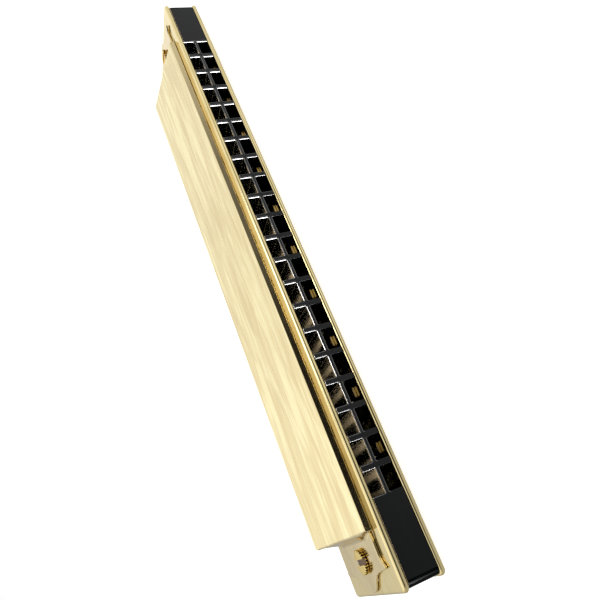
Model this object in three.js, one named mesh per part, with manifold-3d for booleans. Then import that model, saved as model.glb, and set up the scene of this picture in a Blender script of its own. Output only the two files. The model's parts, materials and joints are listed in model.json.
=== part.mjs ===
// Tremolo harmonica: a moulded comb with two rows of chambers, two riveted reed plates and two
// sheet-metal covers, held together by a through bolt at each end.
//
// Millimetres. Inside the harmonica group +X runs along the length towards the high notes, -Y is the
// mouth side and +Z is the upper cover; the comb's centre is the group's origin. The group is then
// tipped about X so that the lower cover lies flat on the surface it rests on.

import * as THREE from 'three';
import { mergeVertices } from 'three/addons/utils/BufferGeometryUtils.js';
import Module from 'manifold-3d';

const wasm = await Module();
wasm.setup();

// ---- driving dimensions ----

const PLATE_LENGTH = 162;
const PLATE_DEPTH = 27.6;
const PLATE_THICKNESS = 1.25;
const PLATE_CORNER = 1.2;
const ASSEMBLY_GAP = 0.1;

const COMB_LENGTH = 161.2;
const COMB_DEPTH = 27.4;
const COMB_THICKNESS = 6.7;
const COMB_CORNER = 1.5;
const COLUMNS = 21;
const PITCH = 6.2;
const CHAMBER_WIDTH = 4.9;
const CHAMBER_DEPTH = 21.5;
const CENTRE_WALL = 1;
const COLUMN_SHIFT = 0.5;

const SHEET = 0.5;
const COVER_LENGTH = 138.2;
const COVER_FRONT = 3.35;
const COVER_REAR = 26.9;
const COVER_RISE_FRONT = 1.5;
const COVER_RISE_REAR = 5.35;
const REAR_LIP = 1.75;

const TAB_MIDDLE = 14.4;
const TAB_SHOULDER = 10.2;
const TAB_POINT = 11.3;
const TAB_REACH = 11.1;

const BOLT_RADIUS = 1.4;
const BOLT_HOLE = 1.65;
const BOLT_HEAD_RADIUS = 2.5;
const BOLT_HEAD_HEIGHT = 0.8;
const KNURL_TEETH = 24;
const KNURL_DEPTH = 0.2;
const SCREW_SLOT_WIDTH = 1.2;
const SCREW_SLOT_DEPTH = 0.55;
const BOLT_FROM_MIDDLE = 74;
const BOLT_FROM_FRONT = 12.9;
const NUT_RADIUS = 2.8;
const NUT_HEIGHT = 1.4;

const NAIL_RADIUS = 0.5;
const NAIL_HOLE = 0.65;
const NAIL_HEAD_RADIUS = 1;
const NAIL_HEAD_HEIGHT = 0.35;
const NAIL_BITE = 2;

const REED_LONGEST = 13.5;
const REED_SHORTEST = 7;
const REED_WIDTH = 2.1;
const REED_THICKNESS = 0.26;
const REED_LIFT = 0.12;
const PAD_WIDTH = 2.6;
const PAD_LENGTH = 3;
const PAD_THICKNESS = 0.45;
const RIVET_RADIUS = 0.5;
const RIVET_HOLE = 0.68;
const RIVET_HEAD_RADIUS = 0.75;
const RIVET_HEAD_HEIGHT = 0.25;
const INNER_RIVET_FROM_FRONT = 4.1;
const OUTER_RIVET_FROM_FRONT = 5.8;
const SLOT_SIDE_CLEARANCE = 0.15;
const SLOT_END_CLEARANCE = 0.2;

// ---- derived sizes ----

const FRONT = -PLATE_DEPTH / 2;
const PLATE_INNER = COMB_THICKNESS / 2 + ASSEMBLY_GAP;
const PLATE_OUTER = PLATE_INNER + PLATE_THICKNESS;
const COVER_BASE = PLATE_OUTER + ASSEMBLY_GAP;
const COVER_HALF = COVER_LENGTH / 2;
const COVER_SLOPE = (COVER_RISE_REAR - COVER_RISE_FRONT) / (COVER_REAR - COVER_FRONT);
const REST_TILT = Math.atan(COVER_SLOPE);
const ROUND_SIDES = 16;
const SMALL_SIDES = 10;
const OVERRUN = 1;

// ---- colours and surfaces ----

const finish = (color, roughness, metalness) => () =>
  new THREE.MeshStandardMaterial({ color, roughness, metalness });
const champagneGold = finish(0xe9d3a0, 0.28, 1);
const plateGold = finish(0xcdb163, 0.25, 1);
const reedBrass = finish(0xb98f3c, 0.35, 1);
const boltGold = finish(0xf2b53a, 0.2, 1);
const combBlack = finish(0x15181a, 0.22, 0);

// ---- solids ----

function solidOf(geometry) {
  const bare = geometry.index ? geometry.toNonIndexed() : geometry.clone();
  bare.deleteAttribute('normal');
  bare.deleteAttribute('uv');
  const merged = mergeVertices(bare, 1e-4);
  return new wasm.Manifold(new wasm.Mesh({
    numProp: 3,
    vertProperties: new Float32Array(merged.attributes.position.array),
    triVerts: new Uint32Array(merged.index.array),
  }));
}

function geometryOf(solid) {
  const mesh = solid.getMesh();
  const geometry = new THREE.BufferGeometry();
  geometry.setAttribute('position', new THREE.BufferAttribute(mesh.vertProperties, 3));
  geometry.setIndex(new THREE.BufferAttribute(mesh.triVerts, 1));
  geometry.computeVertexNormals();
  return geometry;
}

function block(x, y, z) {
  const geometry = new THREE.BoxGeometry(x[1] - x[0], y[1] - y[0], z[1] - z[0]);
  geometry.translate((x[0] + x[1]) / 2, (y[0] + y[1]) / 2, (z[0] + z[1]) / 2);
  return solidOf(geometry);
}

// A plan outline in X and Y, standing from z[0] to z[1].
function plate(shape, z) {
  const geometry = new THREE.ExtrudeGeometry(shape, {
    depth: z[1] - z[0],
    bevelEnabled: false,
    curveSegments: 6,
  });
  geometry.translate(0, 0, z[0]);
  return solidOf(geometry);
}

// A side profile given as [y, z] points, running from x[0] to x[1].
function sideProfile(points, x) {
  const shape = new THREE.Shape(points.map(([y, z]) => new THREE.Vector2(y, z)));
  const geometry = new THREE.ExtrudeGeometry(shape, { depth: x[1] - x[0], bevelEnabled: false });
  const alongX = new THREE.Matrix4().makeBasis(
    new THREE.Vector3(0, 1, 0),
    new THREE.Vector3(0, 0, 1),
    new THREE.Vector3(1, 0, 0),
  );
  geometry.applyMatrix4(alongX);
  geometry.translate(x[0], 0, 0);
  return solidOf(geometry);
}

// A turned piece about a vertical axis at (x, y). The profile is [radius, z] points from the lower end
// of the axis to its upper end.
function turned(profile, sides, x, y) {
  const points = profile.map(([radius, z]) => new THREE.Vector2(radius, z));
  const geometry = new THREE.LatheGeometry(points, sides);
  geometry.rotateX(Math.PI / 2);
  geometry.translate(x, y, 0);
  return solidOf(geometry);
}

function pin(radius, z, sides, x, y) {
  return turned([[0, z[0]], [radius, z[0]], [radius, z[1]], [0, z[1]]], sides, x, y);
}

const joined = (solids) => solids.reduce((whole, solid) => whole.add(solid));
const less = (solid, tools) => solid.subtract(joined(tools));

// The lower half of the instrument is the upper half reflected in the comb's middle plane.
const placed = (solid, side) => (side > 0 ? solid : solid.mirror([0, 0, 1]));

function roundedRectangle(halfX, halfY, radius) {
  const shape = new THREE.Shape();
  shape.moveTo(-halfX + radius, -halfY);
  shape.lineTo(halfX - radius, -halfY);
  shape.absarc(halfX - radius, -halfY + radius, radius, -Math.PI / 2, 0);
  shape.absarc(halfX - radius, halfY - radius, radius, 0, Math.PI / 2);
  shape.absarc(-halfX + radius, halfY - radius, radius, Math.PI / 2, Math.PI);
  shape.absarc(-halfX + radius, -halfY + radius, radius, Math.PI, Math.PI * 1.5);
  return shape;
}

// ---- layout ----

const boltSpots = [-1, 1].map((end) => [end * BOLT_FROM_MIDDLE, FRONT + BOLT_FROM_FRONT]);
const nailSpots = [[-67.2, -6], [-34, 10.7], [34, 10.7], [67.2, -6]];

const columnCentre = (column) => (column - (COLUMNS + 1) / 2) * PITCH + COLUMN_SHIFT;

// Column 1 has the lowest notes. Odd columns sound on the draw, with their reeds outside the plates;
// even columns sound on the blow, with their reeds inside the chambers.
function reedOf(column) {
  const outside = column % 2 === 1;
  const fraction = (column - 1) / (COLUMNS - 1);
  const rivetY = FRONT + (outside ? OUTER_RIVET_FROM_FRONT : INNER_RIVET_FROM_FRONT);
  return {
    outside,
    x: columnCentre(column),
    rivetY,
    rootY: rivetY + PAD_LENGTH / 2,
    length: REED_LONGEST + (REED_SHORTEST - REED_LONGEST) * fraction,
  };
}

const columns = Array.from({ length: COLUMNS }, (_, index) => index + 1);

// ---- pieces, all shaped for the upper half ----

function comb() {
  const halfY = COMB_DEPTH / 2;
  const top = COMB_THICKNESS / 2;
  const body = plate(roundedRectangle(COMB_LENGTH / 2, halfY, COMB_CORNER), [-top, top]);
  const chambers = columns.flatMap((column) => {
    const x = columnCentre(column);
    const across = [x - CHAMBER_WIDTH / 2, x + CHAMBER_WIDTH / 2];
    const along = [-halfY - OVERRUN, -halfY + CHAMBER_DEPTH];
    return [
      block(across, along, [CENTRE_WALL / 2, top + OVERRUN]),
      block(across, along, [-top - OVERRUN, -CENTRE_WALL / 2]),
    ];
  });
  const boltHoles = boltSpots.map(([x, y]) =>
    pin(BOLT_HOLE, [-top - OVERRUN, top + OVERRUN], ROUND_SIDES, x, y));
  const deepest = PLATE_INNER - NAIL_BITE - ASSEMBLY_GAP;
  const nailHoles = nailSpots.flatMap(([x, y]) => [
    pin(NAIL_HOLE, [deepest, top + OVERRUN], SMALL_SIDES, x, y),
    pin(NAIL_HOLE, [-top - OVERRUN, -deepest], SMALL_SIDES, x, y),
  ]);
  return less(body, [...chambers, ...boltHoles, ...nailHoles]);
}

function reedPlate() {
  const outline = roundedRectangle(PLATE_LENGTH / 2, PLATE_DEPTH / 2, PLATE_CORNER);
  const through = [PLATE_INNER - OVERRUN, PLATE_OUTER + OVERRUN];
  const openings = columns.flatMap((column) => {
    const reed = reedOf(column);
    const half = REED_WIDTH / 2 + SLOT_SIDE_CLEARANCE;
    const along = [reed.rootY + SLOT_END_CLEARANCE, reed.rootY + reed.length + SLOT_END_CLEARANCE];
    return [
      block([reed.x - half, reed.x + half], along, through),
      pin(RIVET_HOLE, through, SMALL_SIDES, reed.x, reed.rivetY),
    ];
  });
  const boltHoles = boltSpots.map(([x, y]) => pin(BOLT_HOLE, through, ROUND_SIDES, x, y));
  const nailHoles = nailSpots.map(([x, y]) => pin(NAIL_HOLE, through, SMALL_SIDES, x, y));
  return less(plate(outline, [PLATE_INNER, PLATE_OUTER]), [...openings, ...boltHoles, ...nailHoles]);
}

// The end tab's outline: shoulders beside the end wall, a point on each side and a rounded tip.
function tabOutline(end) {
  const shape = new THREE.Shape();
  const root = COVER_HALF - SHEET;
  const shoulder = COVER_HALF + 5;
  const corner = COVER_HALF + 6.9;
  const waist = COVER_HALF + 9.2;
  const tip = COVER_HALF + TAB_REACH;
  const middle = FRONT + TAB_MIDDLE;
  const to = (x, y) => [end * x, middle + y];
  shape.moveTo(...to(root, -TAB_SHOULDER));
  shape.lineTo(...to(shoulder, -TAB_SHOULDER));
  shape.quadraticCurveTo(...to(shoulder + 1, -TAB_SHOULDER), ...to(corner, -TAB_POINT));
  shape.quadraticCurveTo(...to(corner + 0.6, -TAB_POINT / 2), ...to(waist, -TAB_POINT / 3));
  shape.quadraticCurveTo(...to(tip, -TAB_POINT / 5), ...to(tip, 0));
  shape.quadraticCurveTo(...to(tip, TAB_POINT / 5), ...to(waist, TAB_POINT / 3));
  shape.quadraticCurveTo(...to(corner + 0.6, TAB_POINT / 2), ...to(corner, TAB_POINT));
  shape.quadraticCurveTo(...to(shoulder + 1, TAB_SHOULDER), ...to(shoulder, TAB_SHOULDER));
  shape.lineTo(...to(root, TAB_SHOULDER));
  return shape;
}

// One bent sheet: a low front wall that stands on the reed plate, a flat top rising to the rear, a lip
// turned down along the open rear edge, an end wall at each end and a tab beyond it.
function cover() {
  const y = (fromFront) => FRONT + fromFront;
  const topAt = (fromFront) =>
    PLATE_OUTER + COVER_RISE_FRONT + (fromFront - COVER_FRONT) * COVER_SLOPE;
  const front = COVER_FRONT;
  const rear = COVER_REAR;
  const tabTop = COVER_BASE + SHEET;
  const shell = sideProfile([
    [y(front), COVER_BASE],
    [y(front + SHEET), COVER_BASE],
    [y(front + SHEET), topAt(front + SHEET) - SHEET],
    [y(rear - SHEET), topAt(rear - SHEET) - SHEET],
    [y(rear - SHEET), topAt(rear) - REAR_LIP],
    [y(rear), topAt(rear) - REAR_LIP],
    [y(rear), topAt(rear)],
    [y(front), topAt(front)],
  ], [-COVER_HALF, COVER_HALF]);
  const endWall = [
    [y(front + SHEET / 2), COVER_BASE],
    [y(rear), COVER_BASE],
    [y(rear), topAt(rear) - SHEET / 2],
    [y(front + SHEET / 2), topAt(front) - SHEET / 2],
  ];
  const ends = [-1, 1].flatMap((end) => {
    const inner = end * (COVER_HALF - SHEET);
    const outer = end * COVER_HALF;
    const wall = sideProfile(endWall, [Math.min(inner, outer), Math.max(inner, outer)]);
    return [wall, plate(tabOutline(end), [COVER_BASE, tabTop])];
  });
  const holes = boltSpots.map(([x, holeY]) =>
    pin(BOLT_HOLE, [COVER_BASE - OVERRUN, tabTop + OVERRUN], ROUND_SIDES, x, holeY));
  return less(joined([shell, ...ends]), holes);
}

// A through bolt with a knurled cheese head and a screwdriver slot.
function coverBolt([x, y]) {
  const seat = COVER_BASE + SHEET + ASSEMBLY_GAP;
  const crown = seat + BOLT_HEAD_HEIGHT;
  const foot = -(COVER_BASE + SHEET + ASSEMBLY_GAP + NUT_HEIGHT);
  const shank = turned([
    [0, foot],
    [BOLT_RADIUS - 0.3, foot],
    [BOLT_RADIUS, foot + 0.3],
    [BOLT_RADIUS, seat + 0.1],
    [0, seat + 0.1],
  ], ROUND_SIDES, x, y);
  const knurl = new THREE.Shape(Array.from({ length: 2 * KNURL_TEETH }, (_, corner) => {
    const angle = (corner * Math.PI) / KNURL_TEETH;
    const radius = BOLT_HEAD_RADIUS - (corner % 2) * KNURL_DEPTH;
    return new THREE.Vector2(x + radius * Math.cos(angle), y + radius * Math.sin(angle));
  }));
  const chamfered = turned([
    [0, seat],
    [BOLT_HEAD_RADIUS - 0.15, seat],
    [BOLT_HEAD_RADIUS + 0.05, seat + 0.2],
    [BOLT_HEAD_RADIUS + 0.05, crown - 0.2],
    [BOLT_HEAD_RADIUS - 0.15, crown],
    [0, crown],
  ], 2 * KNURL_TEETH, x, y);
  const head = plate(knurl, [seat, crown]).intersect(chamfered);
  const reach = BOLT_HEAD_RADIUS + OVERRUN;
  return less(joined([shank, head]), [block(
    [x - SCREW_SLOT_WIDTH / 2, x + SCREW_SLOT_WIDTH / 2],
    [y - reach, y + reach],
    [crown - SCREW_SLOT_DEPTH, crown + OVERRUN],
  )]);
}

function coverNut([x, y]) {
  const seat = -(COVER_BASE + SHEET + ASSEMBLY_GAP);
  const hexagon = new THREE.Shape(Array.from({ length: 6 }, (_, corner) => {
    const angle = (corner * Math.PI) / 3;
    return new THREE.Vector2(x + NUT_RADIUS * Math.cos(angle), y + NUT_RADIUS * Math.sin(angle));
  }));
  const body = plate(hexagon, [seat - NUT_HEIGHT, seat]);
  return less(body, [pin(BOLT_HOLE, [seat - NUT_HEIGHT - OVERRUN, seat + OVERRUN], ROUND_SIDES, x, y)]);
}

function plateNail([x, y]) {
  const head = PLATE_OUTER + ASSEMBLY_GAP;
  const point = PLATE_INNER - NAIL_BITE;
  return turned([
    [0, point],
    [NAIL_RADIUS, point + NAIL_RADIUS],
    [NAIL_RADIUS, head],
    [NAIL_HEAD_RADIUS, head],
    [NAIL_HEAD_RADIUS * 0.6, head + NAIL_HEAD_HEIGHT],
    [0, head + NAIL_HEAD_HEIGHT],
  ], SMALL_SIDES, x, y);
}

// A reed and its rivet. Heights are measured from the plate face that the reed lies on, away from
// the plate, and turned into Z by the side of the plate it is on.
function reed(column) {
  const { outside, x, rivetY, rootY, length } = reedOf(column);
  const face = outside ? PLATE_OUTER : PLATE_INNER;
  const away = outside ? 1 : -1;
  const span = (low, high) => [face + away * low, face + away * high].sort((a, b) => a - b);
  const padTop = REED_LIFT + PAD_THICKNESS;
  const pad = block(
    [x - PAD_WIDTH / 2, x + PAD_WIDTH / 2],
    [rivetY - PAD_LENGTH / 2, rootY],
    span(REED_LIFT, padTop),
  );
  const tongue = block(
    [x - REED_WIDTH / 2, x + REED_WIDTH / 2],
    [rivetY, rootY + length],
    span(REED_LIFT, REED_LIFT + REED_THICKNESS),
  );
  const stemEnd = outside ? -PLATE_THICKNESS - RIVET_HEAD_HEIGHT : -PLATE_THICKNESS + ASSEMBLY_GAP;
  const stem = pin(RIVET_RADIUS, span(stemEnd, padTop), SMALL_SIDES, x, rivetY);
  const head = pin(RIVET_HEAD_RADIUS, span(REED_LIFT, padTop + RIVET_HEAD_HEIGHT), SMALL_SIDES, x, rivetY);
  return joined([pad, tongue, stem, head]);
}

// ---- assembly ----

const harmonica = new THREE.Group();

function add(name, solid, material) {
  const mesh = new THREE.Mesh(geometryOf(solid), material());
  mesh.name = name;
  harmonica.add(mesh);
}

add('comb', comb(), combBlack);
for (const [half, side] of [['upper', 1], ['lower', -1]]) {
  add(`${half}_reed_plate`, placed(reedPlate(), side), plateGold);
  add(`${half}_cover`, placed(cover(), side), champagneGold);
  nailSpots.forEach((spot, index) => {
    add(`${half}_plate_nail_${index + 1}`, placed(plateNail(spot), side), reedBrass);
  });
  for (const column of columns) {
    const number = String(column).padStart(2, '0');
    add(`${half}_reed_${number}`, placed(reed(column), side), reedBrass);
  }
}
boltSpots.forEach((spot, index) => {
  const end = ['left', 'right'][index];
  add(`${end}_cover_bolt`, coverBolt(spot), boltGold);
  add(`${end}_cover_nut`, coverNut(spot), boltGold);
});

// Tip the instrument onto its lower cover, then put the origin under the middle of its box.
harmonica.rotation.x = REST_TILT;
harmonica.updateMatrixWorld(true);
const extent = new THREE.Box3().setFromObject(harmonica, true);
const middle = extent.getCenter(new THREE.Vector3());
harmonica.position.set(-middle.x, -middle.y, -extent.min.z);

const group = new THREE.Group();
group.name = 'tremolo_harmonica';
group.add(harmonica);

export default group;
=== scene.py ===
import json
import math

import bmesh
import bpy
import numpy as np
from mathutils import Matrix, Vector


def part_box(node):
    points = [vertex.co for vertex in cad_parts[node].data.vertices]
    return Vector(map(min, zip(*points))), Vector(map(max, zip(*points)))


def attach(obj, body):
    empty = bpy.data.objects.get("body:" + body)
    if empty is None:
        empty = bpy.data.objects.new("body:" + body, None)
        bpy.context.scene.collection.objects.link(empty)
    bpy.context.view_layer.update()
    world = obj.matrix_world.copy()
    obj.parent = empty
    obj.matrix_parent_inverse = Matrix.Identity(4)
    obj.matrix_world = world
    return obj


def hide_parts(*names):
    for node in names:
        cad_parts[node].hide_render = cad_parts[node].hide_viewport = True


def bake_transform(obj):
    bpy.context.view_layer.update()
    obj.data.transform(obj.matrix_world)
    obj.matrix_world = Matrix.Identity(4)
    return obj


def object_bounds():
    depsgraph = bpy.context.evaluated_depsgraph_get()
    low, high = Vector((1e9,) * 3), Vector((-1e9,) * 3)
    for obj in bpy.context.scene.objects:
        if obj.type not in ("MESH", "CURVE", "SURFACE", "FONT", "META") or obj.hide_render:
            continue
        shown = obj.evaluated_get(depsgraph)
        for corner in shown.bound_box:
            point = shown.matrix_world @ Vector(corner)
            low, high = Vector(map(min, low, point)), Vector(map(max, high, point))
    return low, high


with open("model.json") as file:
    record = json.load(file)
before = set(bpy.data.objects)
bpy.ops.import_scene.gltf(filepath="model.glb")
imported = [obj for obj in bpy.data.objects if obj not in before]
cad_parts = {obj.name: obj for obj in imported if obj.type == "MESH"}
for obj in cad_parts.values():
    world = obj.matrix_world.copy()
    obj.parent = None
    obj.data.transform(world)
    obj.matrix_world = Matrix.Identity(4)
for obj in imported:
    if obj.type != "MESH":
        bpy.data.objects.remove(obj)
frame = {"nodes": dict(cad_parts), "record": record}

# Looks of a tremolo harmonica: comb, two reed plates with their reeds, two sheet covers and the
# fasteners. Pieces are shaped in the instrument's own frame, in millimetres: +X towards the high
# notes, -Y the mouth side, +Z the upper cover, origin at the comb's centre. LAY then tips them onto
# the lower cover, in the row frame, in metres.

cad_low, cad_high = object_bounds()
MM = 0.001
PAPER_GAP = 0.03 * MM  # between the instrument and the floor
BOLT_HOLE = 1.65
SHEET = 0.5  # the covers' thickness
OVERRUN = 1  # how far cutters reach past what they cut

upper_face = next(m for m in frame["record"]["mounts"] if m["name"] == "upper_cover_face")
TILT = math.atan2(-upper_face["axis"][1], upper_face["axis"][2]) / 2
comb_low, comb_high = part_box("comb")
LAY = (Matrix.Translation((comb_low + comb_high) / 2) @ Matrix.Rotation(TILT, 4, "X")
       @ Matrix.Scale(MM, 4))


def local_box(node):
    """A CAD node's lowest and highest corners in the instrument's own frame, in millimetres."""
    mesh = frame["nodes"][node].data
    points = np.empty(len(mesh.vertices) * 3)
    mesh.vertices.foreach_get("co", points)
    unlay = np.array(LAY.inverted())
    flat = points.reshape(-1, 3) @ unlay[:3, :3].T + unlay[:3, 3]
    return Vector(flat.min(0)), Vector(flat.max(0))


# ---- camera ----

camera_data = bpy.data.cameras.new("camera")
camera_data.lens = 33.519
camera_data.sensor_width = 36
camera_data.clip_start = 0.002
camera_data.clip_end = 100
camera = bpy.data.objects.new("camera", camera_data)
bpy.context.scene.collection.objects.link(camera)
bpy.context.scene.camera = camera


def aim_camera(azimuth, elevation, roll, aim, distance):
    """The camera looks at the aim point from a distance. Azimuth turns its view from +Y towards +X,
    elevation lifts it above the horizon, and roll turns it about the line of sight."""
    a, e = math.radians(azimuth), math.radians(elevation)
    forward = Vector((math.sin(a) * math.cos(e), math.cos(a) * math.cos(e), -math.sin(e)))
    turn = Matrix.Rotation(math.radians(roll), 4, "Z")
    camera.matrix_world = (Matrix.Translation(aim - forward * distance)
                           @ forward.to_track_quat("-Z", "Y").to_matrix().to_4x4() @ turn)


middle = (cad_low + cad_high) / 2
aim_camera(azimuth=22.968, elevation=13.148, roll=-107.394,
           aim=middle + Vector((-11.867, 5.538, -7.914)) * MM, distance=145.838 * MM)


# ---- mesh helpers ----

def mesh_of(name, verts, faces, slots=None):
    mesh = bpy.data.meshes.new(name)
    mesh.from_pydata([tuple(v) for v in verts], [], faces)
    if slots is not None:
        mesh.polygons.foreach_set("material_index", slots)
    mesh.update()
    return mesh


def loose(name, mesh):
    obj = bpy.data.objects.new(name, mesh)
    bpy.context.scene.collection.objects.link(obj)
    return obj


def applied(obj):
    """The object's mesh with its modifiers applied. The object is removed."""
    bpy.context.view_layer.update()
    graph = bpy.context.evaluated_depsgraph_get()
    mesh = bpy.data.meshes.new_from_object(obj.evaluated_get(graph), depsgraph=graph)
    name = obj.name
    bpy.data.objects.remove(obj)
    mesh.name = name
    return mesh


def bevel(obj, width, segments, weights=False, angle=30, clamp=True):
    """Rounds edges sharper than the angle, or each edge by its weight's share of the width."""
    mod = obj.modifiers.new("bevel", "BEVEL")
    mod.width = width
    mod.segments = segments
    mod.limit_method = "WEIGHT" if weights else "ANGLE"
    mod.angle_limit = math.radians(angle)
    mod.miter_outer = "MITER_ARC"
    mod.use_clamp_overlap = clamp
    return mod


def cut(obj, cutter, operation="DIFFERENCE"):
    mod = obj.modifiers.new("cut", "BOOLEAN")
    mod.operation = operation
    mod.solver = "EXACT"
    mod.object = cutter


def lathe(profile, sides, centre=(0, 0)):
    """A closed turned solid. The profile is [radius, z] points from the axis back to the axis."""
    verts, faces = [(centre[0], centre[1], profile[0][1])], []
    for radius, z in profile[1:-1]:
        for k in range(sides):
            a = 2 * math.pi * k / sides
            verts.append((centre[0] + radius * math.cos(a), centre[1] + radius * math.sin(a), z))
    verts.append((centre[0], centre[1], profile[-1][1]))
    rings = len(profile) - 2
    last = len(verts) - 1
    for k in range(sides):
        n = (k + 1) % sides
        faces.append((0, 1 + n, 1 + k))
        for r in range(rings - 1):
            a, b = 1 + r * sides, 1 + (r + 1) * sides
            faces.append((a + k, a + n, b + n, b + k))
        a = 1 + (rings - 1) * sides
        faces.append((a + k, a + n, last))
    return verts, faces


def block(low, high):
    """The verts and faces of a box between two corners."""
    (x0, y0, z0), (x1, y1, z1) = low, high
    verts = [(x0, y0, z0), (x1, y0, z0), (x1, y1, z0), (x0, y1, z0),
             (x0, y0, z1), (x1, y0, z1), (x1, y1, z1), (x0, y1, z1)]
    faces = [(0, 3, 2, 1), (4, 5, 6, 7), (0, 1, 5, 4), (1, 2, 6, 5), (2, 3, 7, 6), (3, 0, 4, 7)]
    return verts, faces


def outline_slab(outline, z0, z1):
    """The solid between two heights over a plan outline."""
    count = len(outline)
    verts = [(x, y, z0) for x, y in outline] + [(x, y, z1) for x, y in outline]
    faces = [tuple(reversed(range(count))), tuple(range(count, 2 * count))]
    faces += [(i, (i + 1) % count, count + (i + 1) % count, count + i) for i in range(count)]
    return verts, faces


def rounded_outline(low, high, radius, steps=8):
    """The points of a rectangle with round corners, anticlockwise from the front right one."""
    points = []
    left, right = low.x + radius, high.x - radius
    front, rear = low.y + radius, high.y - radius
    for cx, cy, start in ((right, front, -90), (right, rear, 0),
                          (left, rear, 90), (left, front, 180)):
        for k in range(steps + 1):
            a = math.radians(start + 90 * k / steps)
            points.append((cx + radius * math.cos(a), cy + radius * math.sin(a)))
    return points


def together(parts):
    """The verts and faces of several shapes as one."""
    verts, faces = [], []
    for part_verts, part_faces in parts:
        start = len(verts)
        verts += part_verts
        faces += [tuple(start + i for i in face) for face in part_faces]
    return verts, faces


def crisp(mesh, angle, split=None):
    """Smooth shading, with flat faces kept flat and edges sharper than the angle kept sharp. Edges
    between the two slots in split are sharp too."""
    mesh.shade_smooth()
    mesh.set_sharp_from_angle(angle=math.radians(angle))
    if split:
        bm = bmesh.new()
        bm.from_mesh(mesh)
        for edge in bm.edges:
            if {face.material_index for face in edge.link_faces} == set(split):
                edge.smooth = False
        bm.to_mesh(mesh)
        bm.free()
    obj = loose(mesh.name, mesh)
    mod = obj.modifiers.new("normals", "WEIGHTED_NORMAL")
    mod.keep_sharp = True
    mod.weight = 80
    return applied(obj)


def flipped(mesh):
    """The mesh reflected to the lower half of the instrument."""
    other = mesh.copy()
    other.transform(Matrix.Scale(-1, 4, (0, 0, 1)))
    other.flip_normals()
    return other


def piece(name, mesh, materials, nodes, body="root", bend=None):
    """A finished piece in the row frame. It rides on a body, or, when bend is given, stays in the
    row frame attached to no body."""
    mesh = mesh.copy()
    for material in materials:
        mesh.materials.append(material)
    mesh.transform(LAY)
    obj = loose(name, mesh)
    if bend:
        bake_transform(obj)
    else:
        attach(obj, body)
    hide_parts(*nodes)
    return obj


# ---- materials ----

class Nodes:
    """Short ways to write a material's node tree."""

    def __init__(self, name):
        self.material = bpy.data.materials.new(name)
        self.material.use_nodes = True
        self.tree = self.material.node_tree
        self.shader = self.tree.nodes["Principled BSDF"]
        self.place = self.tree.nodes.new("ShaderNodeTexCoord").outputs["Object"]

    def link(self, source, target):
        self.tree.links.new(source, target)

    def stretched(self, scale):
        """The place on the piece along the instrument's own axes, times a scale for each axis."""
        node = self.tree.nodes.new("ShaderNodeMapping")
        node.vector_type = "TEXTURE"
        node.inputs["Rotation"].default_value = (TILT, 0, 0)
        node.inputs["Scale"].default_value = [1 / s for s in scale]
        self.link(self.place, node.inputs["Vector"])
        return node.outputs["Vector"]

    def noise(self, scale, detail=3, roughness=0.55, distortion=0):
        node = self.tree.nodes.new("ShaderNodeTexNoise")
        node.inputs["Scale"].default_value = 1
        node.inputs["Detail"].default_value = detail
        node.inputs["Roughness"].default_value = roughness
        node.inputs["Distortion"].default_value = distortion
        self.link(self.stretched(scale), node.inputs["Vector"])
        return node.outputs["Fac"]

    def ramp(self, source, stops):
        node = self.tree.nodes.new("ShaderNodeValToRGB")
        elements = node.color_ramp.elements
        while len(elements) < len(stops):
            elements.new(0.5)
        for element, (position, colour) in zip(elements, stops):
            element.position = position
            element.color = (*colour, 1)
        self.link(source, node.inputs["Fac"])
        return node.outputs["Color"]

    def remap(self, source, low, high, to_low, to_high):
        node = self.tree.nodes.new("ShaderNodeMapRange")
        limits = {"From Min": low, "From Max": high, "To Min": to_low, "To Max": to_high}
        for name, value in limits.items():
            node.inputs[name].default_value = value
        self.link(source, node.inputs["Value"])
        return node.outputs["Result"]

    def sum(self, a, b, share):
        """a plus a share of b."""
        node = self.tree.nodes.new("ShaderNodeMath")
        node.operation = "MULTIPLY_ADD"
        self.link(b, node.inputs[0])
        node.inputs[1].default_value = share
        self.link(a, node.inputs[2])
        return node.outputs["Value"]

    def bump(self, height, distance, strength=1):
        node = self.tree.nodes.new("ShaderNodeBump")
        node.inputs["Distance"].default_value = distance
        node.inputs["Strength"].default_value = strength
        self.link(height, node.inputs["Height"])
        self.link(node.outputs["Normal"], self.shader.inputs["Normal"])

    def colour(self, socket):
        self.link(socket, self.shader.inputs["Base Color"])

    def roughness(self, socket):
        self.link(socket, self.shader.inputs["Roughness"])


def metal(name, dark, light, rough, grain, bump, wear=0.04):
    """A plated or bare metal with a fine grain. Its colour and gloss drift over the surface."""
    n = Nodes(name)
    n.shader.inputs["Metallic"].default_value = 1
    drift = n.noise((120, 260, 260), detail=4)
    fine = n.noise(grain, detail=2, roughness=0.6)
    n.colour(n.ramp(n.sum(drift, fine, 0.25), [(0.38, dark), (0.72, light)]))
    n.roughness(n.sum(n.remap(drift, 0.3, 0.7, rough[0], rough[1]), fine, wear))
    n.bump(fine, bump)
    return n.material


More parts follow.
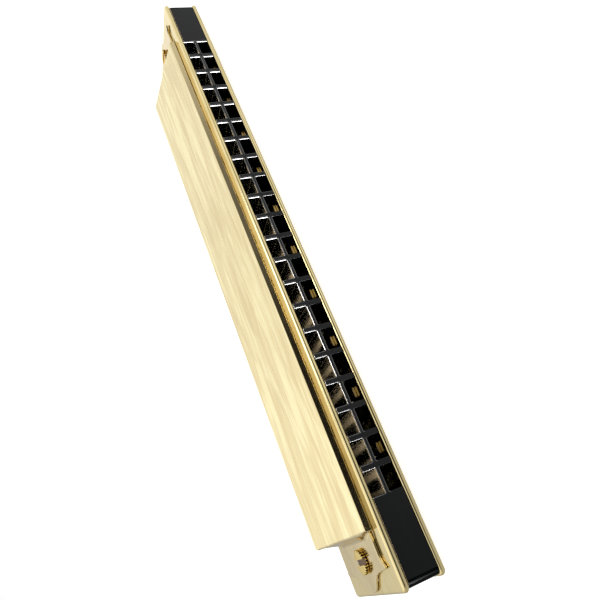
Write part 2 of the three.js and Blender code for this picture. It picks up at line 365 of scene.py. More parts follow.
def engraved_gold():
    """The cover's top: satin gold, with long soft blades of brighter metal and fine strokes."""
    n = Nodes("cover_satin")
    n.shader.inputs["Metallic"].default_value = 1
    blades = n.noise((40, 400, 400), detail=3, roughness=0.6, distortion=0.5)
    lines = n.noise((45, 1150, 1150), detail=1, roughness=0.5, distortion=0.2)
    strokes = n.remap(lines, 0.36, 0.44, 1, 0)
    fine = n.noise((350, 5200, 5200), detail=2, roughness=0.6)
    tone = n.sum(n.sum(blades, strokes, -0.09), fine, 0.10)
    n.colour(n.ramp(tone, [(0.40, (0.78, 0.64, 0.35)), (0.54, (0.86, 0.73, 0.41)),
                           (0.66, (0.98, 0.88, 0.53))]))
    n.roughness(n.sum(n.remap(blades, 0.3, 0.7, 0.20, 0.30), fine, 0.06))
    n.bump(n.sum(fine, strokes, -1.2), 0.000008)
    return n.material


cover_polish = metal("cover_polish", (0.76, 0.62, 0.34), (0.86, 0.71, 0.40), (0.10, 0.16),
                     (900, 6000, 6000), 0.000002)
cover_satin = engraved_gold()
plate_gold = metal("plate_gold", (0.80, 0.65, 0.30), (0.92, 0.77, 0.40), (0.09, 0.15),
                   (1200, 5000, 5000), 0.000002)
dull_brass = metal("dull_brass", (0.50, 0.37, 0.20), (0.66, 0.50, 0.29), (0.45, 0.60),
                   (2000, 2000, 2000), 0.000003)
dull_brass.node_tree.nodes["Principled BSDF"].inputs["Metallic"].default_value = 0.3
# painted shade: the reeds' brass is much darker than the plates', standing in for the shade inside
# the chambers
reed_brass = metal("reed_brass", (0.36, 0.27, 0.13), (0.50, 0.39, 0.20), (0.13, 0.22),
                   (9000, 700, 9000), 0.000003, wear=0.06)
nail_brass = metal("nail_brass", (0.60, 0.42, 0.16), (0.74, 0.56, 0.26), (0.25, 0.38),
                   (4000, 4000, 4000), 0.000005, wear=0.12)
# painted shade: a near-black brown for the bolt's groove and screwdriver slot, standing in for the
# shade that falls in them
painted_groove_shade = metal("painted_groove_shade", (0.08, 0.04, 0.01), (0.17, 0.09, 0.02), (0.25, 0.35),
                      (3000, 3000, 3000), 0.000003)
bolt_gold = metal("bolt_gold", (0.84, 0.56, 0.10), (0.96, 0.74, 0.24), (0.10, 0.20),
                  (3000, 3000, 3000), 0.000003)


def black_plastic(name, gloss, ior=1.45):
    """The comb's glossy black plastic, with faint flow marks and a fine grain."""
    n = Nodes(name)
    n.shader.inputs["IOR"].default_value = ior
    n.shader.inputs["Specular IOR Level"].default_value = gloss
    flow = n.noise((60, 220, 220), detail=4)
    fine = n.noise((2500, 2500, 2500), detail=2)
    n.colour(n.ramp(n.sum(flow, fine, 0.15), [(0.35, (0.0010, 0.0016, 0.0017)),
                                              (0.75, (0.0026, 0.0038, 0.0038))]))
    n.roughness(n.sum(n.remap(flow, 0.3, 0.7, 0.08, 0.14), fine, 0.05))
    n.bump(n.sum(flow, fine, 0.08), 0.00002, 0.5)
    return n.material


comb_plastic = black_plastic("comb_plastic", 0.3)
comb_ends = black_plastic("comb_ends", 0.03)
comb_edges = black_plastic("comb_edges", 1.0, ior=1.7)


# ---- comb ----

columns = range(1, 22)
column_x = {c: sum(v.x for v in local_box(f"upper_reed_{c:02d}")) / 2 for c in columns}
CHAMBER_WIDTH = 4.9
CHAMBER_DEPTH = 21.5
CENTRE_WALL = 1
COMB_CORNER = 1.5
COMB_NAIL_HOLE = 0.62
HAIR = 0.001  # keeps two faces from lying in one plane when one solid cuts another
LEAD_ROUND = 0.5  # the largest rounding of a divider's leading edge
DIVIDER_ROUND = 0.2  # the dividers' other front edges
CENTRE_WALL_ROUND = 0.34
OTHER_ROUND = 0.12
# The leading edges' roundings at two places along X, in between and beyond as np.interp says
UPPER_LEAD = ((-45, 0.22), (-10, LEAD_ROUND))
LOWER_LEAD = ((5, 0.1), (45, LEAD_ROUND))

bolt_box = {end: local_box(f"{end}_cover_bolt") for end in ("left", "right")}
bolt_spot = {end: (low + high) / 2 for end, (low, high) in bolt_box.items()}
nail_box = [local_box(f"upper_plate_nail_{i}") for i in range(1, 5)]


def cylinder(radius, low_z, high_z, sides, centre):
    return lathe([(0, low_z), (radius, low_z), (radius, high_z), (0, high_z)], sides, centre)


def through_holes(nail_radius, half_height):
    """Cutters for the bolt holes, and for the nail holes unless their radius is 0."""
    parts = [cylinder(BOLT_HOLE, -half_height, half_height, 40, (spot.x, spot.y))
             for spot in bolt_spot.values()]
    for low, high in nail_box if nail_radius else ():
        centre = (low + high) / 2
        parts.append(cylinder(nail_radius, -half_height, half_height, 20, (centre.x, centre.y)))
    return loose("holes", mesh_of("holes", *together(parts)))


def comb_mesh():
    """The comb as a grid of cells with the chambers left out, with each edge rounded by its place.
    Slot 1 is for the ends and slot 2 for the shiny rounded edges of the dividers."""
    low, high = local_box("comb")
    half = CHAMBER_WIDTH / 2
    xs = [low.x] + [x + side * half for x in column_x.values() for side in (-1, 1)] + [high.x]
    ys = [low.y, low.y + CHAMBER_DEPTH, high.y]
    zs = [low.z, -CENTRE_WALL / 2, CENTRE_WALL / 2, high.z]

    def filled(i, j, k):
        inside = 0 <= i < len(xs) - 1 and 0 <= j < 2 and 0 <= k < 3
        return inside and not (i % 2 == 1 and j == 0 and k != 1)

    bm = bmesh.new()
    found = {}

    def corner(i, j, k):
        if (i, j, k) not in found:
            found[i, j, k] = bm.verts.new((xs[i], ys[j], zs[k]))
        return found[i, j, k]

    sides = {(-1, 0, 0): [(0, 0, 0), (0, 0, 1), (0, 1, 1), (0, 1, 0)],
             (1, 0, 0): [(1, 0, 0), (1, 1, 0), (1, 1, 1), (1, 0, 1)],
             (0, -1, 0): [(0, 0, 0), (1, 0, 0), (1, 0, 1), (0, 0, 1)],
             (0, 1, 0): [(0, 1, 0), (0, 1, 1), (1, 1, 1), (1, 1, 0)],
             (0, 0, -1): [(0, 0, 0), (0, 1, 0), (1, 1, 0), (1, 0, 0)],
             (0, 0, 1): [(0, 0, 1), (1, 0, 1), (1, 1, 1), (0, 1, 1)]}
    for i in range(len(xs) - 1):
        for j in range(2):
            for k in range(3):
                if not filled(i, j, k):
                    continue
                for (a, b, c), quad in sides.items():
                    if not filled(i + a, j + b, k + c):
                        bm.faces.new([corner(i + u, j + v, k + w) for u, v, w in quad])
    bm.normal_update()
    lead_sides = [xs[i] for i in range(2, len(xs) - 1, 2)]
    weight = bm.edges.layers.float.new("bevel_weight_edge")
    for edge in bm.edges:
        if edge.calc_face_angle(0) < 0.5:
            continue
        a, b = edge.verts[0].co, edge.verts[1].co
        at_front = max(a.y, b.y) < low.y + 0.01
        at_face = min(abs(a.z), abs(b.z)) > high.z - 0.01
        if at_front and abs(a.z - b.z) > 0.1:
            radius = DIVIDER_ROUND
            if min(abs(a.x - x) for x in lead_sides) < 0.01:
                stops = UPPER_LEAD if a.z + b.z > 0 else LOWER_LEAD
                radius = float(np.interp(a.x, *zip(*stops)))
        elif at_front and not at_face:
            radius = CENTRE_WALL_ROUND
        elif min(abs(a.x), abs(b.x)) > xs[-2] - 0.01:
            radius = 0
        else:
            radius = OTHER_ROUND
        edge[weight] = radius / LEAD_ROUND
    mesh = bpy.data.meshes.new("comb")
    bm.to_mesh(mesh)
    bm.free()
    obj = loose("comb_shape", mesh)
    bevel(obj, LEAD_ROUND, 5, weights=True, clamp=False)
    shaped = loose("comb_body", applied(obj))
    holes = through_holes(COMB_NAIL_HOLE, high.z + OVERRUN)
    hair = Vector((HAIR, HAIR, 0))
    outline = rounded_outline(low - hair, high + hair, COMB_CORNER)
    round_ended = loose("round_ended", mesh_of(
        "round_ended", *outline_slab(outline, low.z - OVERRUN, high.z + OVERRUN)))
    cut(shaped, holes)
    cut(shaped, round_ended, "INTERSECT")
    mesh = applied(shaped)
    bpy.data.objects.remove(holes)
    bpy.data.objects.remove(round_ended)
    for polygon in mesh.polygons:
        normal, centre = polygon.normal, polygon.center
        at_end = abs(normal.x) > 0.03 and abs(centre.x) > high.x - COMB_CORNER - 0.1
        rounded = centre.y < low.y + LEAD_ROUND + 0.1 and -0.998 < normal.y < -0.03
        # the lower row has no shiny edges on the near side of x = 5
        shiny = abs(centre.x) < xs[-2] + 0.3 and (centre.z > -0.6 or centre.x > 5)
        polygon.material_index = 1 if at_end else 2 if rounded and shiny else 0
    return crisp(mesh, 40, split=(0, 1))


comb = piece("comb_moulding", comb_mesh(), [comb_plastic, comb_ends, comb_edges],
             ["comb"])


# ---- reed plates ----

PAD_LENGTH = 3
PLATE_CORNER = 1.2
PLATE_ROUND = 0.6  # the plate's outer edges; the inner ones are rounded by a share of it
INNER_ROUND_SHARE = 0.75
PIN_HOLE = 0.56  # for rivets and nails
SLOT_HALF_WIDTH = 1.2
SLOT_SHIFT = 0.2


def reed_place(column):
    """Y of the rivet's centre, the tongue's root and its tip."""
    low, high = local_box(f"upper_reed_{column:02d}")
    return low.y + PAD_LENGTH / 2, low.y + PAD_LENGTH, high.y


def plate_mesh():
    """The upper reed plate, with a slot and a rivet hole for each reed. Material slot 1 is its
    inner face."""
    low, high = local_box("upper_reed_plate")
    mesh = mesh_of("plate", *outline_slab(rounded_outline(low, high, PLATE_CORNER), low.z, high.z))
    bm = bmesh.new()
    bm.from_mesh(mesh)
    weight = bm.edges.layers.float.new("bevel_weight_edge")
    for edge in bm.edges:
        a, b = edge.verts[0].co, edge.verts[1].co
        if abs(a.z - b.z) < 0.01:
            edge[weight] = 1.0 if a.z > (low.z + high.z) / 2 else INNER_ROUND_SHARE
    bm.to_mesh(mesh)
    bm.free()
    obj = loose("plate_shape", mesh)
    bevel(obj, PLATE_ROUND, 6, weights=True)
    shaped = loose("plate_body", applied(obj))
    parts = []
    below, above = low.z - OVERRUN, high.z + OVERRUN
    for column in columns:
        rivet, root, tip = reed_place(column)
        x = column_x[column]
        parts.append(block((x - SLOT_HALF_WIDTH, root + SLOT_SHIFT, below),
                           (x + SLOT_HALF_WIDTH, tip + SLOT_SHIFT, above)))
        parts.append(cylinder(PIN_HOLE, below, above, 20, (x, rivet)))
    slots = loose("slots", mesh_of("slots", *together(parts)))
    holes = through_holes(PIN_HOLE, above)
    cut(shaped, slots)
    cut(shaped, holes)
    mesh = applied(shaped)
    bpy.data.objects.remove(slots)
    bpy.data.objects.remove(holes)
    for polygon in mesh.polygons:
        inner_face = polygon.normal.z < -0.99 and polygon.center.z < low.z + 0.01
        polygon.material_index = 1 if inner_face else 0
    return crisp(mesh, 40)


plate = plate_mesh()
plates = [piece("upper_plate", plate, [plate_gold, dull_brass],
                ["upper_reed_plate"]),
          piece("lower_plate", flipped(plate), [plate_gold, plate_gold],
                ["lower_reed_plate"])]


# ---- covers ----

COVER_HALF = 69.1
LIP_HEIGHT = 1.75
TAB_HALF_WIDTH = 10.2
TAB_FROM_FRONT = 14.4  # from the plate's front edge to the tab's midline
BLADES = 58
HATCHINGS = 26
HATCH_STROKES = 5


def engraving(x, y):
    """The cover's engraved pattern: depth in millimetres at points x along and y across the top, as
    long slender blades that sweep along the sheet, between fine parallel strokes."""
    rng = np.random.default_rng(11)
    depth = np.zeros_like(x)
    span_y = (y.min() + 2.2, y.max() - 2.2)

    def stroke(x0, y0, length, slant, bow, width, deep):
        """One groove that starts at x0, y0, slants from the sheet's length, bows and tapers."""
        ends = np.array([math.cos(slant), math.sin(slant)])
        along = ((x - x0) * ends[0] + (y - y0) * ends[1]) / length
        across = -(x - x0) * ends[1] + (y - y0) * ends[0] - bow * 4 * along * (1 - along)
        inside = (along > 0) & (along < 1)
        taper = np.sin(np.pi * np.clip(along, 0, 1)) ** 0.6
        reach = np.clip(1 - (across / (width * taper + 1e-6)) ** 2, 0, 1)
        np.maximum(depth, np.where(inside, deep * reach * taper, 0), out=depth)

    for _ in range(BLADES):
        x0 = rng.uniform(-68, 58)
        y0 = rng.uniform(*span_y)
        slant = math.radians(rng.choice([-1, 1]) * rng.uniform(2, 13))
        stroke(x0, y0, rng.uniform(16, 34), slant, rng.uniform(-1.2, 1.2), rng.uniform(0.7, 1.5),
               rng.uniform(0.03, 0.06))
    for _ in range(HATCHINGS):
        x0 = rng.uniform(-66, 56)
        y0 = rng.uniform(*span_y)
        slant = math.radians(rng.uniform(-12, 12))
        bow = rng.uniform(-0.6, 0.6)
        for k in range(HATCH_STROKES):
            stroke(x0 + 1.4 * k, y0 + 0.75 * k, 15, slant + 0.015 * k, bow, 0.32, 0.022)
    return depth


# The end tab's half width at distances beyond the end wall: straight shoulders, an ear, a hollow
# waist and a rounded tip. The second list holds the distances at which the outline gets a point.
TAB_STOPS = [(0, TAB_HALF_WIDTH), (4.6, TAB_HALF_WIDTH), (5.2, 10.27), (5.8, 10.55), (6.4, 11.0),
             (6.9, 11.3), (7.15, 11.05), (7.3, 9.8), (7.45, 8.2), (7.65, 6.7), (8.0, 5.5),
             (8.5, 4.6), (9.2, 3.75), (9.9, 3.1), (10.4, 2.5), (10.8, 1.75), (11.0, 1.1),
             (11.1, 0.35)]
TAB_POINTS = [1.6, 2.4, 3.5, 4.6, 5.0, 5.4, 5.8, 6.15, 6.5, 6.75, 6.95, 7.1, 7.2, 7.3, 7.4, 7.5,
              7.65, 7.8, 8.0, 8.25, 8.5, 8.85, 9.2, 9.55, 9.9, 10.15, 10.4, 10.6, 10.8, 10.93,
              11.02, 11.08, 11.1]


def tab_width(beyond):
    for (a, wa), (b, wb) in zip(TAB_STOPS, TAB_STOPS[1:]):
        if beyond <= b:
            return wa + (wb - wa) * (beyond - a) / (b - a)
    return TAB_STOPS[-1][1]


def cover_mesh():
    """The upper cover: the sheet's outer skin, bent, then thickened inwards. Slot 1 is its top."""
    low, high = local_box("upper_cover")
    tab_top = low.z + SHEET
    half_x = COVER_HALF
    front_y, rear_y = low.y, high.y
    lean = 0.2  # how far the front wall leans back at its top
    slope = math.tan(TILT)
    front_z = high.z - slope * (rear_y - front_y)
    lip_z = high.z - LIP_HEIGHT
    tab_y = local_box("upper_reed_plate")[0].y + TAB_FROM_FRONT
    tab_edge = (tab_y - TAB_HALF_WIDTH, tab_y + TAB_HALF_WIDTH)

    # stations along X, and across Y on the top
    xs = [-half_x, -half_x + 1.4, *np.linspace(-half_x + 2, half_x - 2, 450), half_x - 1.4, half_x]
    ys = [front_y + lean, front_y + 0.8, *np.linspace(front_y + 1.2, rear_y - 1.6, 73),
          rear_y - 1.2, rear_y]
    for edge in tab_edge:
        ys[min(range(len(ys)), key=lambda i: abs(ys[i] - edge))] = edge
    xs, ys = np.array(xs), np.array(ys)
    nx, ny = len(xs), len(ys)
    gx, gy = np.meshgrid(xs, ys, indexing="ij")
    inner = (np.abs(gx) < half_x - 1.9) & (gy > front_y + 1.1) & (gy < rear_y - 1.5)
    gz = front_z + (gy - front_y) * slope - np.where(inner, engraving(gx, gy), 0)
    verts = np.stack([gx, gy, gz], -1).reshape(-1, 3).tolist()
    faces, slots = [], []

    def top(i, j):
        return i * ny + j

    def add(point):
        verts.append(point)
        return len(verts) - 1

    def face(ring, slot=0):
        faces.append(tuple(ring))
        slots.append(slot)

    for i in range(nx - 1):
        for j in range(ny - 1):
            face((top(i, j), top(i + 1, j), top(i + 1, j + 1), top(i, j + 1)), 1)

    # front wall and rear lip
    wall = [add((x, front_y, low.z)) for x in xs]
    lip = [add((x, rear_y, lip_z)) for x in xs]
    for i in range(nx - 1):
        face((wall[i], wall[i + 1], top(i + 1, 0), top(i, 0)))
        face((top(i + 1, ny - 1), lip[i + 1], lip[i], top(i, ny - 1)))

    # end walls, which spread out into the tabs
    on_tab = [j for j in range(ny) if tab_edge[0] - 1e-6 <= ys[j] <= tab_edge[1] + 1e-6]
    for i, sign in ((0, -1), (nx - 1, 1)):
        def turned(ring):
            return ring if sign > 0 else ring[::-1]
        foot, root = [], []
        for j in range(ny):
            inside = min(ys[j] - tab_edge[0], tab_edge[1] - ys[j])
            share = min(1, max(0, inside) / 3)
            spread = 1.05 * share * share * (3 - 2 * share)
            foot.append(wall[i] if j == 0 else add((sign * half_x, ys[j], low.z)))
            root.append(add((sign * (half_x + spread), ys[j], tab_top)) if j in on_tab else None)
        for j in range(ny - 1):
            above = [top(i, j + 1), top(i, j)]
            if j == ny - 2:
                above = [lip[i]] + above
            if j in on_tab and j + 1 in on_tab:
                face(turned([root[j], root[j + 1]] + above))
            elif j + 1 in on_tab:
                face(turned([foot[j], foot[j + 1], root[j + 1]] + above))
            elif j in on_tab:
                face(turned([root[j], foot[j], foot[j + 1]] + above))
            else:
                face(turned([foot[j], foot[j + 1]] + above))
        side = [(beyond, tab_width(beyond)) for beyond in TAB_POINTS]
        outline = [(beyond, -width) for beyond, width in side]
        outline += [(beyond, width) for beyond, width in side[::-1]]
        tab = [add((sign * (half_x + beyond), tab_y + across, tab_top))
               for beyond, across in outline]
        face(turned(tab + [root[j] for j in on_tab[::-1]]))

    largest_bend = 1.0
    mesh = mesh_of("cover", verts, faces, slots)
    bm = bmesh.new()
    bm.from_mesh(mesh)
    weight = bm.edges.layers.float.new("bevel_weight_edge")
    for edge in bm.edges:
        if len(edge.link_faces) != 2 or edge.calc_face_angle(0) < math.radians(25):
            continue
        a, b = edge.verts[0].co, edge.verts[1].co
        if max(a.y, b.y) < front_y + lean + 0.01:
            radius = 0.14
        elif max(a.z, b.z) < tab_top + 0.01:
            radius = 0.5
        elif min(a.y, b.y) > rear_y - 0.01:
            radius = 0.35 if abs(a.x - b.x) > 0.01 else largest_bend
        else:
            radius = 0.5
        edge[weight] = radius / largest_bend
    bm.to_mesh(mesh)
    bm.free()
    obj = loose("cover_sheet", mesh)
    bevel(obj, largest_bend, 4, weights=True, clamp=False)
    thick = obj.modifiers.new("thick", "SOLIDIFY")
    thick.thickness = SHEET
    thick.offset = -1
    thick.use_even_offset = True
    shaped = loose("cover_body", applied(obj))
    holes = through_holes(0, high.z + 5)
    cut(shaped, holes)
    rims = bevel(shaped, 0.13, 3, angle=60, clamp=False)
    rims.miter_outer = "MITER_SHARP"
    mesh = applied(shaped)
    bpy.data.objects.remove(holes)
    # nothing rises out of the plane of the top or leaves the CAD cover's box
    for vertex in mesh.vertices:
        ceiling = min(high.z, front_z + (vertex.co.y - front_y) * slope)
        vertex.co = [min(max(value, lower), upper)
                     for value, lower, upper in zip(vertex.co, low, (high.x, high.y, ceiling))]
    return crisp(mesh, 50)


cover = cover_mesh()
piece("upper_shell", cover, [cover_polish, cover_satin], ["upper_cover"])
piece("lower_shell", flipped(cover), [cover_polish, cover_satin], ["lower_cover"])


# ---- bolts and nuts ----

HEAD_HEIGHT = 0.8
SHANK = 1.4
THREAD_PITCH = 0.5
TEETH = 24
TOOTH_SHARE = 0.16  # how deep the knurl's grooves are, as a share of the radius
SLOT_DEPTH = 0.55
SLOT_WIDTH = 1.2


def bolt_mesh(end):
    """A threaded through bolt with a knurled head and a wide screwdriver slot. Slot 1 is a
    near-black colour painted as shade in the groove under the rim and in the screwdriver slot."""
    low, high = bolt_box[end]
    spot = bolt_spot[end]
    seat, crown = high.z - HEAD_HEIGHT, high.z
    profile = [(0, low.z), (1.0, low.z), (1.15, low.z + 0.05)]
    z = low.z + 0.3
    while z < low.z + 4:  # the threaded end
        profile += [(SHANK, z), (SHANK, z + 0.06), (1.2, z + 0.24), (1.2, z + 0.28)]
        z += THREAD_PITCH
    profile += [(SHANK, z), (SHANK, seat), (2.15, seat)]
    first_grooved = len(profile) - 1
    profile += [(2.38, seat + 0.03), (2.47, seat + 0.1), (2.5, seat + 0.2), (2.5, crown - 0.2),
                (2.47, crown - 0.1), (2.38, crown - 0.03), (2.2, crown), (1.1, crown), (0, crown)]
    sides = 144
    verts, faces = lathe(profile, sides, (spot.x, spot.y))
    for ring in range(first_grooved, first_grooved + 6):
        for k in range(sides):
            index = 1 + ring * sides + k
            x, y, z = verts[index]
            tooth = abs(math.sin(math.pi * TEETH * k / sides))
            share = 1 - TOOTH_SHARE * (1 - tooth)
            verts[index] = (spot.x + (x - spot.x) * share, spot.y + (y - spot.y) * share, z)
    obj = loose("bolt_shape", mesh_of("bolt", verts, faces))
    slot = loose("slot", mesh_of("slot", *block(
        (spot.x - SLOT_WIDTH / 2, spot.y - 4, crown - SLOT_DEPTH),
        (spot.x + SLOT_WIDTH / 2, spot.y + 4, crown + OVERRUN))))
    cut(obj, slot)
    shaped = loose("bolt_body", applied(obj))
    bpy.data.objects.remove(slot)
    bevel(shaped, 0.04, 2, angle=50)
    mesh = applied(shaped)
    # faces in the groove under the rim and in the screwdriver slot take the painted shade colour
    for polygon in mesh.polygons:
        centre = polygon.center
        radius = math.hypot(centre.x - spot.x, centre.y - spot.y)
        in_groove = 1.9 < radius < 2.3 and seat + 0.06 < centre.z < crown - 0.06
        in_slot = radius < 2.4 and crown - SLOT_DEPTH - 0.01 < centre.z < crown - 0.06
        polygon.material_index = 1 if in_groove or in_slot else 0
    return crisp(mesh, 42)


def nut_mesh(end):
    """A hexagon nut with chamfered corners and a countersunk bore."""
    low, high = local_box(f"{end}_cover_nut")
    spot = bolt_spot[end]
    corner_radius = 2.8
    turns = [math.radians(60 * k) for k in range(6)]
    flats = [(spot.x + corner_radius * math.cos(a), spot.y + corner_radius * math.sin(a))
             for a in turns]
    obj = loose("nut_shape", mesh_of("nut", *outline_slab(flats, low.z, high.z)))
    bowl = [(0, low.z), (2.35, low.z), (2.85, low.z + 0.28), (2.85, high.z - 0.28), (2.35, high.z),
            (0, high.z)]
    chamfer = loose("chamfer", mesh_of("chamfer", *lathe(bowl, 48, (spot.x, spot.y))))
    funnel = [(0, low.z - OVERRUN), (2.3, low.z - OVERRUN), (1.45, low.z + 0.25),
              (1.45, high.z - 0.25), (2.3, high.z + OVERRUN), (0, high.z + OVERRUN)]
    bore = loose("bore", mesh_of("bore", *lathe(funnel, 40, (spot.x, spot.y))))
    cut(obj, chamfer, "INTERSECT")
    cut(obj, bore)
    bevel(obj, 0.05, 2, angle=25)
    mesh = applied(obj)
    bpy.data.objects.remove(chamfer)
    bpy.data.objects.remove(bore)
    return crisp(mesh, 40)


for end in bolt_box:
    piece(f"{end}_bolt", bolt_mesh(end), [bolt_gold, painted_groove_shade],
          [f"{end}_cover_bolt"])
    piece(f"{end}_nut", nut_mesh(end), [bolt_gold], [f"{end}_cover_nut"])


# ---- nails ----

for index, (low, high) in enumerate(nail_box, start=1):
    centre = (low + high) / 2
    head = high.z - 0.35
    profile = [(0, low.z), (0.12, low.z + 0.1), (0.5, low.z + 0.7), (0.5, head), (0.95, head),
               (1.0, head + 0.07), (0.97, head + 0.15), (0.8, head + 0.26), (0.5, head + 0.33),
               (0, high.z)]
    nail = crisp(mesh_of("nail", *lathe(profile, 28, (centre.x, centre.y))), 45)
    piece(f"upper_nail_{index}", nail, [nail_brass], [f"upper_plate_nail_{index}"])
    piece(f"lower_nail_{index}", flipped(nail), [nail_brass],
          [f"lower_plate_nail_{index}"])


# ---- reeds ----

REED_LIFT = 0.12  # the reed's underside above the plate
PAD_TOP = 0.57
PAD_HALF_WIDTH = 1.3
TONGUE_HALF_WIDTH = 1.05
TONGUE_TOP = 0.38
NECK = 0.12  # from the root to where the tongue has its full shape
REED_EDGE = 0.05
SCRAPE_STEPS = 24


def reed_mesh(column):
    """A reed on the upper plate, and the points between which it bends: riveted pad, neck and a
    tongue scraped thinner towards its tip. Odd columns have their reeds on the outer face."""
    rivet, root, tip = reed_place(column)
    x = column_x[column]
    outside = column % 2 == 1
    plate_low, plate_high = local_box("upper_reed_plate")
    face, away = (plate_high.z, 1) if outside else (plate_low.z, -1)

    # stations along Y: (y, half width, height of the upper side above the plate)
    pad = PAD_HALF_WIDTH
    rows = [(rivet - PAD_LENGTH / 2, pad - 0.3, PAD_TOP - 0.03),
            (rivet - 1.42, pad - 0.08, PAD_TOP), (rivet - 1.25, pad, PAD_TOP),
            (root - 0.35, pad, PAD_TOP), (root - 0.12, pad - 0.02, 0.56),
            (root + 0.02, pad - 0.18, 0.44), (root + NECK, TONGUE_HALF_WIDTH + 0.01, TONGUE_TOP)]
    for k in range(1, SCRAPE_STEPS + 1):
        s = k / SCRAPE_STEPS
        scraped = TONGUE_TOP - 0.10 * math.sin(math.pi * min(1, s * 1.15) / 1.15) - 0.03 * s
        rows.append((root + NECK + (tip - root - NECK) * s, TONGUE_HALF_WIDTH, scraped))
    verts, faces = [], []
    under, edge = REED_LIFT, REED_EDGE
    for y, half, over in rows:
        for dx, h in ((-half + edge, under), (half - edge, under),
                      (half, under + edge), (half, over - edge),
                      (half - edge, over), (-half + edge, over),
                      (-half, over - edge), (-half, under + edge)):
            verts.append((x + dx, y, face + away * h))
    count = 8
    for r in range(len(rows) - 1):
        for k in range(count):
            n = (k + 1) % count
            faces.append((r * count + k, r * count + n, (r + 1) * count + n, (r + 1) * count + k))
    faces.append(tuple(range(count)))
    faces.append(tuple(reversed(range((len(rows) - 1) * count, len(rows) * count))))
    if away > 0:
        faces = [tuple(reversed(f)) for f in faces]
    top = PAD_TOP
    foot = -1.5 if outside else -1.15
    turned = [(0, foot), (0.30, foot), (0.42, foot + 0.05), (0.5, foot + 0.16), (0.5, top),
              (0.72, top), (0.75, top + 0.05), (0.70, top + 0.13), (0.52, top + 0.21),
              (0.25, top + 0.25), (0, top + 0.25)]
    rivet_verts, rivet_faces = lathe([(r, h) for r, h in turned], 24, (x, rivet))
    rivet_verts = [(vx, vy, face + away * vz) for vx, vy, vz in rivet_verts]
    if away < 0:
        rivet_faces = [tuple(reversed(f)) for f in rivet_faces]
    mesh = mesh_of("reed", *together([(verts, faces), (rivet_verts, rivet_faces)]))
    bend = [(x, root - 0.2, face), (x, root + 0.4 * (tip - root), face)]
    return crisp(mesh, 50), bend


for column in columns:
    mesh, bend = reed_mesh(column)
    bend_below = [(x, y, -z) for x, y, z in bend]
    for half, shape, ends in (("upper", mesh, bend), ("lower", flipped(mesh), bend_below)):
        reed = f"{half}_reed_{column:02d}"
        piece(f"{half}_tongue_{column:02d}", shape, [reed_brass], [reed], reed, ends)


# ---- floor ----

def floor_material():
    n = Nodes("floor_paper")
    drift = n.noise((3, 3, 3), detail=4)
    n.colour(n.ramp(drift, [(0.3, (0.90, 0.90, 0.90)), (0.7, (0.93, 0.93, 0.93))]))
    n.shader.inputs["Roughness"].default_value = 0.9
    n.shader.inputs["Specular IOR Level"].default_value = 0.1
    n.shader.inputs["Emission Color"].default_value = (1, 1, 1, 1)
    n.shader.inputs["Emission Strength"].default_value = 0.8
    return n.material


FLOOR_REACH = 12
around = [(-1, -1), (1, -1), (1, 1), (-1, 1)]
floor_mesh = mesh_of("floor", [(x * FLOOR_REACH, y * FLOOR_REACH, cad_low.z - PAPER_GAP)
                               for x, y in around], [(0, 1, 2, 3)])
floor_mesh.materials.append(floor_material())
floor = loose("floor", floor_mesh)
floor.visible_diffuse = False
floor.visible_glossy = False
floor.visible_shadow = False


# ---- light ----

def area_light(name, direction, distance, size, radiance, squash=1, only=(), diffuse=True,
               glossy=True):
    """An oval lamp that shines on the instrument. It can be kept to some pieces, and to their
    diffuse or glossy light."""
    data = bpy.data.lights.new(name, "AREA")
    data.shape = "ELLIPSE"
    data.size = size
    data.size_y = size * squash
    data.energy = radiance * math.pi * math.pi * size * size * squash / 4
    light = bpy.data.objects.new(name, data)
    bpy.context.scene.collection.objects.link(light)
    light.location = middle + Vector(direction).normalized() * distance
    light.rotation_mode = "QUATERNION"
    light.rotation_quaternion = (-Vector(direction)).to_track_quat("-Z", "Y")
    light.visible_camera = False
    light.visible_diffuse = diffuse
    light.visible_glossy = glossy
    if only:
        group = bpy.data.collections.new(name)
        for obj in only:
            group.objects.link(obj)
        light.light_linking.receiver_collection = group


# directions are from the instrument towards the lamp; distances and sizes are in metres
area_light("softbox", direction=(0.36, -0.35, 0.86), distance=0.8, size=0.32, radiance=5.0,
           only=plates)
area_light("edge_lamp", direction=(-0.878, -0.373, -0.301), distance=3, size=1.7, radiance=35,
           squash=0.56, only=[comb], diffuse=False)
area_light("wall_lamp", direction=(0.31, -0.46, 0.83), distance=3, size=0.85, radiance=38,
           only=[comb], diffuse=False)
area_light("chamber_lamp", direction=(-0.16, -0.91, -0.375), distance=3, size=1.33, radiance=700,
           only=plates, glossy=False)


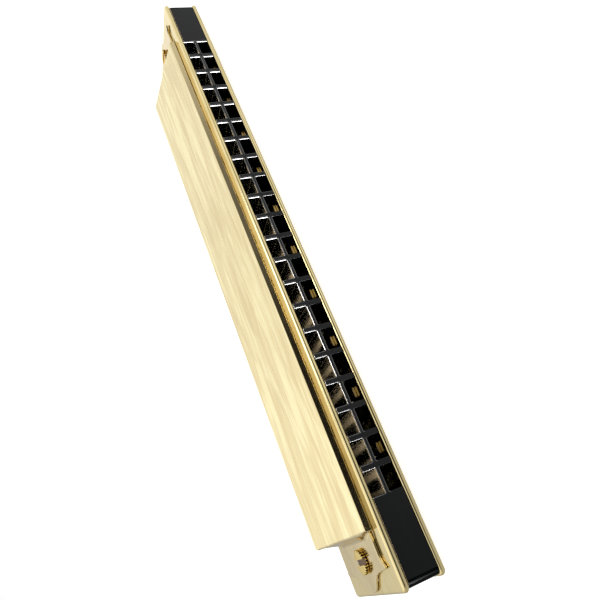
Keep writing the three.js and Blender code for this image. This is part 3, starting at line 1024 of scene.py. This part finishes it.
def studio_world():
    """A soft, even studio: paler towards the top and the far end, dark where the photographer
    stands."""
    world = bpy.data.worlds.new("studio")
    bpy.context.scene.world = world
    world.use_nodes = True
    nodes, links = world.node_tree.nodes, world.node_tree.links
    direction = nodes.new("ShaderNodeTexCoord").outputs["Generated"]

    def grey_ramp(source, stops):
        ramp = nodes.new("ShaderNodeValToRGB")
        elements = ramp.color_ramp.elements
        while len(elements) < len(stops):
            elements.new(0.5)
        for element, (position, grey) in zip(elements, stops):
            element.position = position
            element.color = (grey, grey, grey, 1)
        links.new(source, ramp.inputs["Fac"])
        return ramp.outputs["Color"]

    def towards(centre):
        """1 in a direction, falling to 0 in the opposite one."""
        dot = nodes.new("ShaderNodeVectorMath")
        dot.operation = "DOT_PRODUCT"
        dot.inputs[1].default_value = Vector(centre).normalized()
        links.new(direction, dot.inputs[0])
        share = nodes.new("ShaderNodeMapRange")
        share.inputs["From Min"].default_value = -1
        links.new(dot.outputs["Value"], share.inputs["Value"])
        return share.outputs["Result"]

    def near(centre, inner, outer):
        """1 within the inner angle of a direction, falling to 0 at the outer one."""
        return grey_ramp(towards(centre), [(0.5 + 0.5 * math.cos(math.radians(outer)), 0),
                                           (0.5 + 0.5 * math.cos(math.radians(inner)), 1)])

    def mix(share, below, grey):
        """The colour below, covered with a grey by a share."""
        node = nodes.new("ShaderNodeMix")
        node.data_type = "RGBA"
        colour_a, colour_b, colour_out = node.inputs[6], node.inputs[7], node.outputs[2]
        links.new(share, node.inputs["Factor"])
        links.new(below, colour_a)
        colour_b.default_value = (grey, grey, grey, 1)
        return colour_out

    light = grey_ramp(towards((0, 0, 1)), [(0.0, 0.50), (0.45, 0.42), (0.55, 0.46), (0.67, 0.50),
                                           (0.75, 0.62), (0.88, 0.90), (1.0, 1.05)])
    # patches: direction, inner and outer angle in degrees, brightness; later ones cover earlier ones
    for centre, inner, outer, grey in (((0.086, 0.56, 0.83), 12, 28, 1.15),
                                       ((0.86, 0.36, 0.36), 15, 60, 1.02),
                                       ((0.85, -0.45, -0.28), 12, 50, 0.75),
                                       ((0.507, -0.604, 0.616), 15, 38, 0.95),
                                       ((-0.25, -0.94, 0.21), 12, 26, 0.15),
                                       ((0.449, -0.719, -0.53), 14, 30, 0.95),
                                       ((0.495, -0.858, -0.139), 9, 20, 0.13),
                                       ((0.137, -0.975, -0.174), 14, 23, 0.01)):
        light = mix(near(centre, inner, outer), light, grey)
    background = nodes["Background"]
    links.new(light, background.inputs["Color"])
    # the camera itself sees plain white
    plain = nodes.new("ShaderNodeBackground")
    plain.inputs["Color"].default_value = (1, 1, 1, 1)
    path = nodes.new("ShaderNodeLightPath")
    choose = nodes.new("ShaderNodeMixShader")
    links.new(path.outputs["Is Camera Ray"], choose.inputs["Fac"])
    links.new(background.outputs["Background"], choose.inputs[1])
    links.new(plain.outputs["Background"], choose.inputs[2])
    links.new(choose.outputs["Shader"], nodes["World Output"].inputs["Surface"])


studio_world()
bpy.context.scene.view_settings.view_transform = "Standard"
